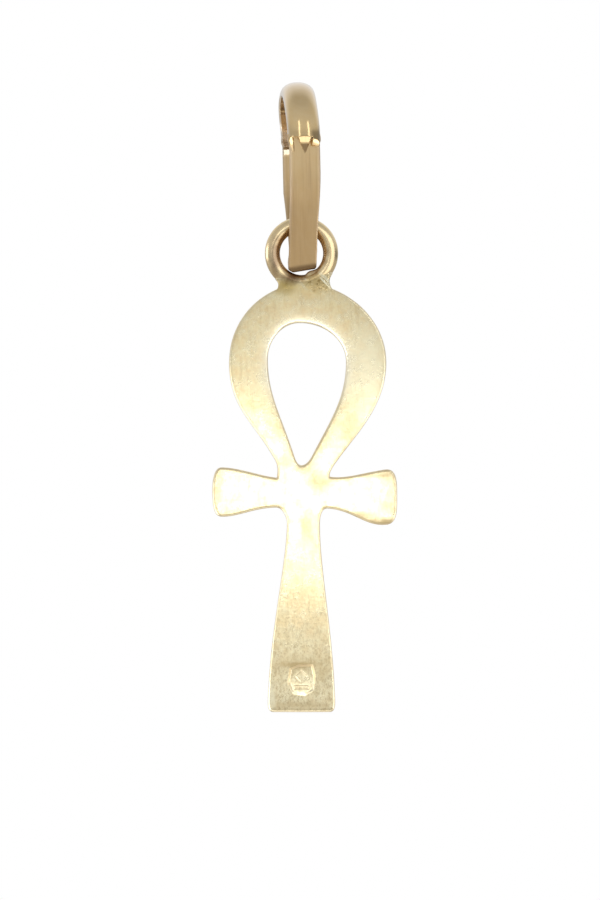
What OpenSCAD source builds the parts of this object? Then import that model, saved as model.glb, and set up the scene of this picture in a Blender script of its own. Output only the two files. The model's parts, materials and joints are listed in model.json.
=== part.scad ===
// Ankh pendant: a flat gold ankh with a ring soldered upright on its top, hanging in a
// tapered bail folded from one strip. X is to the right, Y away from the viewer and Z up.
// The origin is the inner top of the bail, where the chain bears; the rest hangs below it.
// The viewer sees the pendant's back, which carries the punch mark.

/* [Bail] */
// From the chain's seat down to the tip
bail_drop = 9.52; // [9.1:0.02:11.5]
// Width of the flat legs
leg_w = 1.68; // [1.3:0.02:1.72]
// Thickness of the flat legs
leg_t = 0.32; // [0.28:0.01:0.4]
// Clear depth between the legs at the top
bail_gap = 4.1; // [3.6:0.1:4.8]
// Angle at which each leg closes in towards the tip
leg_angle = 27; // [24:1:29]
// Radius of the bend where a leg turns inwards
bend_r = 5; // [3:0.5:6]
// Height of the soldered tip below the point where the legs meet
tip_h = 0.22; // [0.1:0.02:0.6]
// Thickness of the soldered tip at its end
tip_t = 0.45; // [0.3:0.05:0.6]
// Slant of the tip's end
tip_slant = 8; // [0:1:12]
// Turn of the bail on the ring, about its own length
bail_turn = 6.2; // [0:0.1:8]
// Lean of the bail towards the left
bail_lean = 1.3; // [0:0.1:3]

/* [Domed arch] */
// Width of the arch
arch_w = 1.76; // [1.6:0.02:2]
// Thickness on the ridge
ridge_t = 0.75; // [0.6:0.05:1]
// Thickness along the edges
rim_t = 0.2; // [0.15:0.01:0.3]
// From the chain's seat down to the ledge where the flat legs begin
dome_drop = 2.6; // [2.5:0.05:3.2]
// Length of the pointed end of the dome, below the ledge
point_l = 0.55; // [0.3:0.05:0.8]

/* [Ring] */
// Outer diameter of the ring
ring_d = 4.03; // [3.8:0.05:4.6]
// Thickness of the ring's wire
wire_d = 0.83; // [0.65:0.01:0.9]
// Play between the wire and the legs, over the whole swing
swing_play = 0.05; // [0.03:0.01:0.1]
// How deep the ring is let into the top of the plate
ring_sink = 0.34; // [0.2:0.02:0.5]
// Radius of the solder fillet to the left of the ring
left_fillet_r = 0.42; // [0.3:0.02:0.8]
// Radius of the solder fillet to the right of the ring
right_fillet_r = 0.74; // [0.4:0.02:0.9]
// Thickness of the solder between the ring and the plate
solder_t = 0.66; // [0.5:0.02:0.8]

/* [Plate] */
// Thickness of the plate
plate_t = 1; // [0.8:0.05:1.4]
// Width of the loop
loop_w = 8.65; // [7.5:0.05:10]
// From the top of the loop to the middle of the arms
loop_h = 11.55; // [10.5:0.05:13]
// How far the loop leans to the right of the shaft
loop_lean = 0.34; // [0:0.02:0.5]
// Width where the two sides of the loop meet the arms
waist_w = 2.95; // [2.6:0.05:3.4]
// Length of the left arm, from the shaft's axis
left_arm = 4.9; // [4.2:0.05:6]
// Length of the right arm, from the shaft's axis
right_arm = 5.26; // [4.2:0.05:6]
// Height of the arms where they leave the shaft
arm_root_h = 1.76; // [1.5:0.02:2]
// Height of the left arm at its end
left_end_h = 2.74; // [2.3:0.02:3.4]
// Height of the right arm at its end
right_end_h = 3.1; // [2.5:0.02:3.4]
// From the middle of the arms down to the foot of the shaft
shaft_l = 12; // [10:0.05:14]
// Width of the shaft below the arms
shaft_top_w = 1.8; // [1.5:0.05:2.1]
// Width of the shaft at its foot
foot_w = 3.7; // [3:0.05:4.4]

/* [Hole of the loop] */
// Width of the drop-shaped hole
hole_w = 4.3; // [3.6:0.05:4.8]
// Height of the hole
hole_h = 7.82; // [6.8:0.02:8.2]
// Width of the rim above the hole
top_rim = 2.16; // [1.8:0.02:2.6]

/* [Punch mark] */
// Width of the sunk field
punch_w = 1.5; // [1:0.05:1.8]
// Height of the sunk field
punch_h = 1.75; // [1.2:0.05:2.2]
// Depth of the sunk field
punch_deep = 0.08; // [0.04:0.01:0.12]
// From the foot of the shaft up to the middle of the field
punch_rise = 1.78; // [1.3:0.05:3]

/* [Hidden] */
$fn = 48;

// Levels of the bail, measured along its own axis from the chain's seat
arch_r = bail_gap / 2;
meet_z = -(bail_drop - tip_h);
kink_z = meet_z + bail_gap / 2 / tan(leg_angle);
bend_z = kink_z + bend_r * tan(leg_angle / 2);
// The dome's section is a stretch of this circle
dome_r = (pow(arch_w / 2, 2) + pow(ridge_t - rim_t, 2)) / (2 * (ridge_t - rim_t));
dome_x = arch_r + ridge_t - dome_r;

// The ring's wire hangs where its curve clears the corners of both legs at every swing. The
// turn of the bail carries one corner of each leg outwards and nearer to the wire.
ring_r = (ring_d - wire_d) / 2;
clear_r = ring_r - wire_d / 2 - swing_play;
corner_x = leg_w / 2 + ring_r / 2 * sin(bail_turn);
corner_y = leg_w / 2 * sin(bail_turn) * cos(leg_angle);
wire_reach = ring_r - sqrt(pow(clear_r, 2) - pow(corner_x, 2)) + corner_y;
hang_drop = -meet_z - wire_reach / sin(leg_angle);
ankh_x = hang_drop * sin(bail_lean);
hang_z = -hang_drop * cos(bail_lean);
ring_z = hang_z - ring_r;

// Levels of the plate, and its loop's round top
plate_top = ring_z - ring_d / 2 + ring_sink;
arm_z = plate_top - loop_h;
loop_r = loop_w / 2;
loop_x = loop_lean;
loop_z = loop_h - loop_r;
// The crown is the loop's top, which is rounder than its sides and lies nearer the axis
crown_r = 0.78 * loop_r;
crown_x = loop_x - 0.04 * loop_r;
hole_x = loop_lean - 0.01 * hole_w;
hole_z = loop_h - top_rim;

// Stretches of a curve between two points of an outline, and of the bend in a leg
CURVE_STEPS = 8;
BEND_STEPS = 6;

// Columns of an outline: where a point lies, the headings at which the outline comes in and
// goes out, and the curve's reach on both sides, as a share of the way to the next point.
X = 0;
Z = 1;
IN = 2;
OUT = 3;
REACH = 4;

// The plate, clockwise from the top of the loop. x is measured from the shaft's axis, z from
// the middle of the arms.
PLATE = [
    [crown_x, loop_h, 0, 0, 0.36],
    [loop_x + loop_r, loop_z, -90, -90, 0.39],
    [0.63 * waist_w, 0.95 * arm_root_h, -125, -125, 0.3],
    [0.53 * waist_w, 0.53 * arm_root_h, -75, -8, 0.3],
    [right_arm - 0.21 * right_end_h, 0.43 * right_end_h, 8, 8, 0.42],
    [right_arm, 0, -90, -90, 0.48],
    [right_arm - 0.19 * right_end_h, -0.55 * right_end_h, 186, 186, 0.35],
    [0.80 * shaft_top_w, -0.46 * arm_root_h, 176, 176, 0.42],
    [0.56 * shaft_top_w, -0.95 * arm_root_h, -90, -90, 0.25],
    [0.5 * foot_w, -0.94 * shaft_l, -88, -88, 0.4],
    [0.42 * foot_w, -shaft_l, 180, 180, 0.4],
    [-0.42 * foot_w, -shaft_l, 180, 180, 0.4],
    [-0.5 * foot_w, -0.94 * shaft_l, 88, 88, 0.4],
    [-0.44 * shaft_top_w, -0.95 * arm_root_h, 88, 88, 0.25],
    [-0.80 * shaft_top_w, -0.43 * arm_root_h, 182, 182, 0.42],
    [0.18 * left_end_h - left_arm, -0.46 * left_end_h, 178, 178, 0.3],
    [-left_arm, 0.1 * left_end_h, 90, 90, 0.42],
    [0.18 * left_end_h - left_arm, 0.53 * left_end_h, 0, 0, 0.3],
    [-0.46 * waist_w, 0.5 * arm_root_h, -6, 84, 0.3],
    [-0.49 * waist_w, 1.05 * arm_root_h, 119, 119, 0.4],
    [loop_x - loop_r, loop_z, 90, 90, 0.42]
];

// The hole, clockwise from its top
HOLE = [
    [hole_x - 0.09 * hole_w, hole_z, 0, 0, 0.4],
    [hole_x + 0.5 * hole_w, hole_z - 0.27 * hole_h, -90, -90, 0.37],
    [hole_x + 0.07 * hole_w, hole_z - 0.93 * hole_h, -117, -117, 0.4],
    [hole_x - 0.07 * hole_w, hole_z - hole_h, 180, 180, 0.3],
    [hole_x - 0.165 * hole_w, hole_z - 0.93 * hole_h, 108, 108, 0.43],
    [hole_x - 0.5 * hole_w, hole_z - 0.25 * hole_h, 90, 90, 0.36]
];

// Outline of the punch's field, as shares of its width and height
FIELD = [
    [-0.42, 0.36],
    [-0.1, 0.46],
    [0.4, 0.48],
    [0.5, 0.1],
    [0.44, -0.32],
    [0.12, -0.5],
    [-0.3, -0.44],
    [-0.5, -0.1]
];

function place(row) = [row[X], row[Z]];
function heading(angle) = [cos(angle), sin(angle)];
function unit(v) = v / norm(v);

// Points of the curve from one point of an outline to the next, without its end
function curve(from, to) =
    let (
        a = place(from),
        d = place(to),
        way = norm(d - a),
        b = a + way * from[REACH] * heading(from[OUT]),
        c = d - way * to[REACH] * heading(to[IN])
    )
    [
        for (i = [0:CURVE_STEPS - 1])
            let (t = i / CURVE_STEPS, s = 1 - t)
            s * s * s * a + 3 * s * s * t * b + 3 * s * t * t * c + t * t * t * d
    ];

function outline(rows) = [
    for (i = [0:len(rows) - 1])
        each curve(rows[i], rows[(i + 1) % len(rows)])
];

// Centre of a circle of the given radius that touches two round forms from outside. With
// side = 1 it lies to the left of the way from the first form to the second, with -1 to the
// right.
function touching(c1, r1, c2, r2, radius, side) =
    let (
        gap = norm(c2 - c1),
        along = unit(c2 - c1),
        a = r1 + radius,
        b = r2 + radius,
        run = (gap * gap + a * a - b * b) / (2 * gap)
    )
    c1 + run * along + side * sqrt(a * a - run * run) * [-along[1], along[0]];

// Turns a flat drawing upright, with its thickness to both sides of the pendant's middle
module upright(thick) {
    rotate([90, 0, 0])
        linear_extrude(thick, center = true)
            children();
}

// The drop-shaped loop, the arms and the tapering shaft, cut from one sheet
module plate() {
    translate([ankh_x, 0, arm_z])
        upright(plate_t)
            difference() {
                polygon(outline(PLATE));
                polygon(outline(HOLE));
            }
}

module ring() {
    translate([ankh_x, 0, ring_z])
        rotate([90, 0, 0])
            rotate_extrude()
                translate([ring_r, 0])
                    circle(d = wire_d);
}

// Solder that runs up from the plate on both sides of the ring, in hollow fillets
module solder() {
    c1 = [ankh_x, ring_z];
    r1 = ring_d / 2;
    c2 = [ankh_x + crown_x, plate_top - crown_r];
    left = touching(c1, r1, c2, crown_r, left_fillet_r, -1);
    right = touching(c1, r1, c2, crown_r, right_fillet_r, 1);
    upright(solder_t)
        difference() {
            polygon([
                c1 + r1 * unit(left - c1),
                c1 + r1 * unit(right - c1),
                c2 + crown_r * unit(right - c2),
                c2 + crown_r * unit(left - c2)
            ]);
            translate(left)
                circle(left_fillet_r);
            translate(right)
                circle(right_fillet_r);
            translate(c1)
                circle(ring_r);
        }
}

// Sunk field of the punch on the back, with a plain lozenge and bar left standing in it
module punch_field() {
    translate([ankh_x, punch_deep - plate_t / 2, arm_z - shaft_l + punch_rise])
        rotate([90, 0, 0])
            linear_extrude(2 * punch_deep)
                difference() {
                    polygon([
                        for (p = FIELD)
                            [p[X] * punch_w, p[Z] * punch_h]
                    ]);
                    translate([0, 0.1 * punch_h])
                        rotate(45)
                            square(0.3 * punch_w, center = true);
                    translate([0, -0.24 * punch_h])
                        square([0.5 * punch_w, 0.1 * punch_h], center = true);
                }
}

module ankh() {
    color("khaki") {
        difference() {
            plate();
            punch_field();
        }
        ring();
        solder();
    }
}

// Section of the domed arch: flat inside, round outside
module dome_section() {
    intersection() {
        translate([arch_r, -arch_w / 2])
            square([ridge_t, arch_w]);
        translate([dome_x, 0])
            circle(dome_r);
    }
}

// The arch over the chain, and the dome's straight stretch down each leg to its ledge
module arch() {
    translate([0, 0, -arch_r])
        rotate([90, 0, 90])
            rotate_extrude(angle = 180)
                dome_section();
    for (side = [-1, 1])
        rotate(90 * side)
            translate([0, 0, -dome_drop])
                linear_extrude(dome_drop - arch_r)
                    dome_section();
}

// The dome ends below the ledge in a point that runs out on the flat of the leg
module dome_points() {
    for (side = [-1, 1])
        rotate(90 * side)
            translate([0, 0, -dome_drop - point_l])
                intersection() {
                    translate([dome_x, 0])
                        cylinder(h = point_l, r1 = dome_r - ridge_t + leg_t, r2 = dome_r);
                    translate([arch_r, -leg_w / 2, 0])
                        cube([ridge_t, leg_w, point_l]);
                }
}

// One side of the legs as seen from the side, from the ledge down through the bend. far is
// the distance outside the leg's inner face.
function leg_side(far) = [
    [arch_r + far, -dome_drop],
    for (i = [0:BEND_STEPS])
        let (a = leg_angle * i / BEND_STEPS)
        [arch_r - bend_r + (bend_r + far) * cos(a), bend_z - (bend_r + far) * sin(a)]
];

// A side mirrored and joined to itself in one closed outline
function both_sides(path) = concat(
    path,
    [for (i = [len(path) - 1:-1:0]) [-path[i][0], path[i][1]]]
);

// The two flat legs, which close in and are soldered together at the tip
module legs() {
    tip_z = meet_z + (tip_t / 2 - leg_t / cos(leg_angle)) / tan(leg_angle);
    difference() {
        rotate([90, 0, 90])
            linear_extrude(leg_w, center = true)
                difference() {
                    polygon(both_sides(concat(
                        leg_side(leg_t),
                        [[tip_t / 2, tip_z], [tip_t / 2, tip_z - leg_w]]
                    )));
                    polygon(both_sides(concat(leg_side(0), [[0, meet_z]])));
                }
        translate([0, 0, -bail_drop])
            rotate([0, -tip_slant, 0])
                translate([-leg_w, -leg_w, -2 * leg_w])
                    cube(2 * leg_w);
    }
}

// What lies below the ring's middle and too near its wire, where the tip is filed back
module tip_file() {
    translate([ankh_x, 0, ring_z])
        upright(4 * tip_t)
            difference() {
                translate([-ring_r, -ring_r])
                    square([2 * ring_r, ring_r]);
                circle(clear_r);
            }
}

module bail() {
    color("darkkhaki")
        difference() {
            rotate([0, -bail_lean, 0])
                rotate(bail_turn) {
                    arch();
                    dome_points();
                    legs();
                }
            tip_file();
        }
}

ankh();
bail();
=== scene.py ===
"""Ankh pendant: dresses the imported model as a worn, hand-finished piece of yellow gold.

Sizes inside the functions are in millimetres, and a finished mesh is scaled to metres once.
X is to the right, Y away from the viewer and Z up, from the bail's inner top.
"""

import json
import math
from functools import partial
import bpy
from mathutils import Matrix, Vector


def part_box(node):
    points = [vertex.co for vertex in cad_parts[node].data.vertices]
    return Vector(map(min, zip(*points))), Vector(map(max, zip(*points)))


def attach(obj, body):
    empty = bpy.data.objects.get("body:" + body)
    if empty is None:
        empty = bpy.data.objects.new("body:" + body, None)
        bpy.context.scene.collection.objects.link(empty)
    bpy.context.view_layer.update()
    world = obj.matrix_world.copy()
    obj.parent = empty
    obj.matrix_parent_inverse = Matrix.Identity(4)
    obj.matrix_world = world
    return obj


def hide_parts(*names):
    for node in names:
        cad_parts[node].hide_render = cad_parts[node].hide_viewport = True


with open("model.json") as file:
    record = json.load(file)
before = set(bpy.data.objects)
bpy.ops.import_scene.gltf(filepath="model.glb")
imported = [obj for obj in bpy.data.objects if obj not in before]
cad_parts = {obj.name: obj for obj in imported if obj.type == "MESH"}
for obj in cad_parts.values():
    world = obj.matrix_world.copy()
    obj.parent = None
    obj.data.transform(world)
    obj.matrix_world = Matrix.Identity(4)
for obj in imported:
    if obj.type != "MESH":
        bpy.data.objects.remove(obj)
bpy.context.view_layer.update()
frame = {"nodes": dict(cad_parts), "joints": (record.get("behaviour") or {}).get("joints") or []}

from types import SimpleNamespace

import bmesh
import bpy
import numpy as np
from mathutils import Matrix, Vector

bl_info = {
    "name": "Ankh Pendant",
    "version": (1, 0, 0),
    "blender": (4, 5, 0),
    "location": "3D Viewport > Sidebar > Ankh",
    "description": "Builds an ankh pendant in satin and polished gold over its packed model",
    "category": "Object",
}

MM = 0.001
HANG = [v / MM for v in frame["joints"][0]["pos_m"]]     # the middle of the wire it hangs by
RING_Z = HANG[2] - 1.6                                   # the level of the ring's middle


# ---------------------------------------------------------------- settings

def length(name, description, default_mm, low=0.0, high=50.0):
    return bpy.props.FloatProperty(
        name=name, description=description, default=default_mm * MM, min=low * MM,
        max=high * MM, unit="LENGTH", subtype="DISTANCE", precision=6)


def angle(name, description, default_deg):
    return bpy.props.FloatProperty(
        name=name, description=description, default=math.radians(default_deg),
        unit="ROTATION", subtype="ANGLE")


def factor(name, description, default):
    return bpy.props.FloatProperty(
        name=name, description=description, default=default, min=0.0, max=1.0, subtype="FACTOR")


def power(name, description, default):
    return bpy.props.FloatProperty(
        name=name, description=description, default=default, min=0.0, unit="POWER", precision=6)


def colour(name, description, default):
    return bpy.props.FloatVectorProperty(
        name=name, description=description, default=default, min=0.0, max=1.0, size=3,
        subtype="COLOR")


def in_mm(settings):
    """A group's settings by name, with its lengths in millimetres."""
    values = {key: getattr(settings, key) for key in settings.__annotations__}
    for key, value in values.items():
        if settings.bl_rna.properties[key].unit == "LENGTH":
            values[key] = value / MM
    return SimpleNamespace(**values)


class PlateSettings(bpy.types.PropertyGroup):
    edge_softness: length("Edge Softness", "Radius of the plate's rounded edges", 0.11, 0.05, 0.4)
    edge_fall: length("Edge Fall", "How far the polished face falls away at its edges", 0.045)
    fall_width: length("Fall Width", "Width over which the face falls away", 0.28)
    hole_fall: length("Hole Fall", "How much further it falls away at the loop's hole", 0.045)
    mesh_step: length("Mesh Step", "Spacing of the mesh over the metal", 0.07, 0.04, 0.2)
    crown_radius: length("Crown Radius", "Radius of the loop's round top", 3.37)
    crown_shift: length("Crown Shift", "From the ring's axis to the middle of the crown", 0.167)
    solder_thickness: length("Solder Thickness", "Thickness of the solder on the plate", 0.96)
    solder_thinning: factor("Solder Thinning", "How fast each face of the solder falls upwards",
                            0.14)
    solder_flow: length("Solder Flow", "How softly the solder runs into its neighbours", 0.14)
    left_fillet: length("Left Fillet", "Radius of the solder to the left of the ring", 0.42)
    right_fillet: length("Right Fillet", "Radius of the solder to the right of the ring", 0.74)
    punch_depth: length("Punch Depth", "Depth of the punch's sunk field at its middle", 0.15)
    punch_tilt: factor("Punch Tilt", "How much deeper the punch went in at its top", 0.08)
    punch_dish: factor("Punch Dish", "How much the sunk field's floor is dished", 0.08)
    emblem_rise: length("Emblem Rise", "Height of the lozenge and bar over the floor", 0.06)
    pale: colour("Pale Gold", "Colour of the satin gold where it is clean", (0.94, 0.81, 0.48))
    warm: colour("Warm Gold", "Colour of the satin gold where it is worn", (0.89, 0.7, 0.39))
    roughness: factor("Roughness", "Roughness of the satin back", 0.3)


class RingSettings(bpy.types.PropertyGroup):
    diameter: length("Ring Diameter", "Outer diameter of the soldered ring", 4.03)
    wire: length("Wire Thickness", "Thickness of the ring's wire", 0.83)
    gold: colour("Ring Gold", "Colour of the ring's gold", (0.9, 0.745, 0.465))
    roughness: factor("Roughness", "Roughness of the polished wire", 0.24)


class BailSettings(bpy.types.PropertyGroup):
    drop: length("Drop", "From the chain's seat down to the tip", 9.62)
    play: length("Play", "Clear gap between the tip's corners and the ring", 0.03)
    gap: length("Gap", "Clear depth between the legs at the top", 4.1)
    closing: angle("Closing Angle", "Angle at which each leg closes in", 27)
    bend: length("Bend Radius", "Radius of the bend where a leg turns inwards", 5.0)
    meet: length("Meeting Level", "Depth at which the legs' inner faces meet", 9.3)
    tip: length("Tip Thickness", "Thickness of the soldered tip", 0.45)
    tip_slant: angle("Tip Slant", "Slant of the tip's end", 8)
    leg_width: length("Leg Width", "Width of the flat legs", 1.68)
    leg_thickness: length("Leg Thickness", "Thickness of the flat legs", 0.32)
    arch_width: length("Arch Width", "Width of the domed arch", 1.8)
    ridge: length("Ridge Thickness", "Thickness of the arch on its ridge", 0.77)
    rim: length("Rim Thickness", "Thickness of the arch along its edges", 0.1)
    ledge: length("Ledge Level", "Depth at which the dome ends on the leg", 2.6)
    point: length("Point Length", "Length of the dome's pointed end below the ledge", 0.55)
    turn: angle("Turn", "Turn of the bail about its own length", 6.2)
    back_twist: angle("Back Leg's Twist", "Twist of the back leg about its own length", -12)
    lean: angle("Lean", "Lean of the bail towards the left", 1.3)
    gold: colour("Bail Gold", "Colour of the bail's gold", (0.87, 0.67, 0.38))
    dome_roughness: factor("Dome Roughness", "Roughness of the polished arch", 0.14)
    leg_roughness: factor("Leg Roughness", "Roughness of the drawn flat legs", 0.38)


class StudioSettings(bpy.types.PropertyGroup):
    camera_distance: length("Camera Distance", "From the pendant to the camera", 700, 0, 5000)
    frame_height: length("Frame Height", "Height of the picture at the pendant", 49.5)
    aim_x: length("Aim Right", "Picture's middle, to the right of the origin", 0.077, -5, 5)
    aim_drop: length("Aim Drop", "Picture's middle, below the origin", 19.46, 0, 50)
    floor_drop: length("Floor Drop", "From the origin down to the floor", 80, 0, 200)
    key_power: power("Key Power", "Power of the soft key light in front", 0.00077)
    fill_power: power("Fill Power", "Power of the wide fill light in front", 0.00053)
    card_power: power("Card Power", "Power of a square millimetre of the small white cards",
                      0.000004)


# ---------------------------------------------------------------- node helpers

def node(tree, kind, sockets=(), **values):
    """Adds a node, sets its properties, and fills its sockets from values or other sockets."""
    made = tree.nodes.new(kind)
    for key, value in values.items():
        setattr(made, key, value)
    for key, value in dict(sockets).items():
        if isinstance(value, bpy.types.NodeSocket):
            tree.links.new(value, made.inputs[key])
        else:
            made.inputs[key].default_value = value
    return made


def sums(tree, operation, *terms, clamp=False):
    """A math node's result."""
    return node(tree, "ShaderNodeMath", dict(enumerate(terms)), operation=operation,
                use_clamp=clamp).outputs[0]


def vectors(tree, operation, first, second):
    """A vector math node's result. To scale, the second is a number."""
    return node(tree, "ShaderNodeVectorMath", {
        0: first, "Scale" if operation == "SCALE" else 1: second}, operation=operation).outputs[0]


def spread(tree, value, low, high, to_low=0.0, to_high=1.0):
    """Maps a value from one range to another, clamped."""
    return node(tree, "ShaderNodeMapRange", {
        "Value": value, "From Min": low, "From Max": high, "To Min": to_low, "To Max": to_high,
    }).outputs["Result"]


def blended(tree, share, a, b):
    """Colour a mixed with b. A bare colour has three parts."""
    a, b = ((*c, 1.0) if isinstance(c, tuple) else c for c in (a, b))
    return node(tree, "ShaderNodeMix", {0: share, 6: a, 7: b}, data_type="RGBA").outputs[2]


def layered(tree, tone, layers):
    """Lays thin colours over a tone, each where its mask is and at its own strength."""
    for mask, strength, colour_over in layers:
        tone = blended(tree, sums(tree, "MULTIPLY", mask, strength), tone, colour_over)
    return tone


def noise(tree, coords, scale, detail=2.0, roughness=0.5, stretch=None):
    """Noise on the piece's own coordinates; scale is in cells a metre."""
    if stretch:
        coords = vectors(tree, "MULTIPLY", coords, stretch)
    return node(tree, "ShaderNodeTexNoise", {
        "Vector": coords, "Scale": scale, "Detail": detail, "Roughness": roughness,
    }).outputs["Fac"]


def new_group(name, kind, inputs, outputs):
    """An empty node group with named sockets: what it is given and what it has to give."""
    group = bpy.data.node_groups.new(name, kind)
    for title, socket, default in inputs:
        made = group.interface.new_socket(
            title, in_out="INPUT", socket_type="NodeSocket" + socket)
        if default is not None:
            made.default_value = default
    for title, socket in outputs:
        group.interface.new_socket(title, in_out="OUTPUT", socket_type="NodeSocket" + socket)
    return (group, group.nodes.new("NodeGroupInput").outputs,
            group.nodes.new("NodeGroupOutput").inputs)


# ---------------------------------------------------------------- shared surface effects

def satin_grain(title):
    """Fine speckle of a satin surface, with pits."""
    group, given, result = new_group(title, "ShaderNodeTree", [
        ("Coords", "Vector", None), ("Fineness", "Float", 9000.0), ("Pits", "Float", 0.3),
    ], [("Speckle", "Float"), ("Height", "Float")])
    coords, fineness, pits = (given[k] for k in ("Coords", "Fineness", "Pits"))
    fine = noise(group, coords, fineness, 4.0, 0.62)
    blotch = noise(group, coords, sums(group, "MULTIPLY", fineness, 0.28))
    spots = node(group, "ShaderNodeTexVoronoi", {
        "Vector": coords, "Scale": sums(group, "MULTIPLY", fineness, 0.55)}).outputs["Distance"]
    holes = sums(group, "MULTIPLY", spread(group, spots, 0.28, 0.08), pits)
    height = sums(group, "SUBTRACT", sums(group, "MULTIPLY_ADD", blotch, 0.8, fine), holes)
    group.links.new(spread(group, sums(group, "ADD", fine, blotch), 0.75, 1.25),
                    result["Speckle"])
    group.links.new(height, result["Height"])
    return group


def fine_scratches(title):
    """Long fine lines in one direction, as a file, a polishing felt or wear leaves them."""
    group, given, result = new_group(title, "ShaderNodeTree", [
        ("Coords", "Vector", None), ("Across", "Float", 12000.0), ("Along", "Float", 500.0),
        ("Angle", "Float", 0.0),
    ], [("Lines", "Float"), ("Height", "Float")])
    turned = node(group, "ShaderNodeVectorRotate", {
        "Vector": given["Coords"], "Angle": given["Angle"]}, rotation_type="Y_AXIS").outputs[0]
    scale = node(group, "ShaderNodeCombineXYZ", {
        "X": given["Along"], "Y": given["Along"], "Z": given["Across"]}).outputs[0]
    lines = noise(group, vectors(group, "MULTIPLY", turned, scale), 1.0, 3.0, 0.6)
    group.links.new(spread(group, lines, 0.52, 0.7), result["Lines"])
    group.links.new(lines, result["Height"])
    return group


def handled_gold(title):
    """Slow drift of the metal's colour, from clean to handled."""
    group, given, result = new_group(title, "ShaderNodeTree", [
        ("Coords", "Vector", None), ("Clean", "Color", (0.9, 0.75, 0.45, 1.0)),
        ("Handled", "Color", (0.85, 0.66, 0.38, 1.0)), ("Patches", "Float", 700.0),
    ], [("Color", "Color")])
    slow = noise(group, given["Coords"], given["Patches"], 3.0, 0.6)
    mottle = noise(group, given["Coords"], sums(group, "MULTIPLY", given["Patches"], 4.5))
    mask = spread(group, sums(group, "MULTIPLY_ADD", mottle, 0.6, slow), 0.6, 1.0)
    group.links.new(blended(group, mask, given["Clean"], given["Handled"]), result["Color"])
    return group


def soft_spot(title):
    """1 inside a soft ellipsoid about a place, 0 outside it, with a ragged border."""
    group, given, result = new_group(title, "ShaderNodeTree", [
        ("Coords", "Vector", None), ("Centre", "Vector", None), ("Size", "Vector", None),
        ("Softness", "Float", 0.5),
    ], [("Mask", "Float")])
    offset = vectors(group, "SUBTRACT", given["Coords"], given["Centre"])
    unit = vectors(group, "DIVIDE", offset, given["Size"])
    reach = node(group, "ShaderNodeVectorMath", {0: unit}, operation="LENGTH").outputs["Value"]
    ragged = sums(group, "MULTIPLY_ADD", noise(group, given["Coords"], 2500.0, 3.0), 0.7,
                  sums(group, "SUBTRACT", reach, 0.35))
    group.links.new(spread(group, ragged, sums(group, "ADD", 1.0, given["Softness"]),
                           sums(group, "SUBTRACT", 1.0, given["Softness"])), result["Mask"])
    return group


def effect(tree, maker, coords, **sockets):
    """Uses a shared effect in a material. Its maker builds the node group the first time."""
    title = maker.__name__.replace("_", " ").title()
    group = bpy.data.node_groups.get(title) or maker(title)
    return node(tree, "ShaderNodeGroup", {
        "Coords": coords, **{key.title(): value for key, value in sockets.items()},
    }, node_tree=group).outputs


def near(tree, coords, centre_mm, size_mm, soft=0.5):
    """A soft spot's mask, placed and sized in millimetres."""
    return effect(tree, soft_spot, coords, centre=tuple(c * MM for c in centre_mm),
                  size=tuple(s * MM for s in size_mm), softness=soft)["Mask"]


# ---------------------------------------------------------------- metals

def gold(name, *masks):
    """A new material: its tree, its shader, the piece's own coordinates, and the masks that
    the mesh carries."""
    material = bpy.data.materials.new(name)
    material.use_nodes = True
    tree = material.node_tree
    shader = tree.nodes["Principled BSDF"]
    shader.inputs["Metallic"].default_value = 1.0
    return (material, tree, shader.inputs, node(tree, "ShaderNodeTexCoord").outputs["Object"],
            *(node(tree, "ShaderNodeAttribute", attribute_name=mask).outputs["Fac"]
              for mask in masks))


def bumped(tree, surface, layers):
    """Stacks bump nodes, each with a height and its depth in millimetres."""
    normal = {}
    for height, depth in layers:
        normal = {"Normal": node(tree, "ShaderNodeBump", {
            "Height": height, "Strength": 1.0, "Distance": depth * MM, **normal,
        }).outputs["Normal"]}
    tree.links.new(normal["Normal"], surface["Normal"])


def oxide(tree, coords, tone):
    """The brown inside the ring, deepest at its lower left: partly the torch's oxide, partly
    painted shade.
    """
    crescent = near(tree, coords, (HANG[0] - 0.52, 0.0, RING_Z - 1.33), (0.6, 0.6, 0.4), 0.45)
    inner = near(tree, coords, (HANG[0], 0.0, RING_Z), (1.33, 4.0, 1.33), 0.12)
    return layered(tree, tone, ((crescent, 1.0, (0.15, 0.075, 0.03)),
                                (inner, 0.62, (0.42, 0.25, 0.13))))


def filed_marks(tree, coords, tone, where):
    """Slanting file marks and pits, where the solder was cleaned up; the marks are painted pale as
    glints.
    """
    file = effect(tree, fine_scratches, coords, across=3600.0, along=700.0, angle=-0.85)
    pits = spread(tree, noise(tree, coords, 4200.0, 2.0, 0.6), 0.48, 0.36)
    lines = sums(tree, "MULTIPLY", file["Lines"], 3.0, clamp=True)
    return layered(tree, tone, ((where, 0.75, (0.58, 0.43, 0.18)),
                                (where, pits, (0.36, 0.25, 0.09)),
                                (where, lines, (1.0, 0.95, 0.7))))
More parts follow.
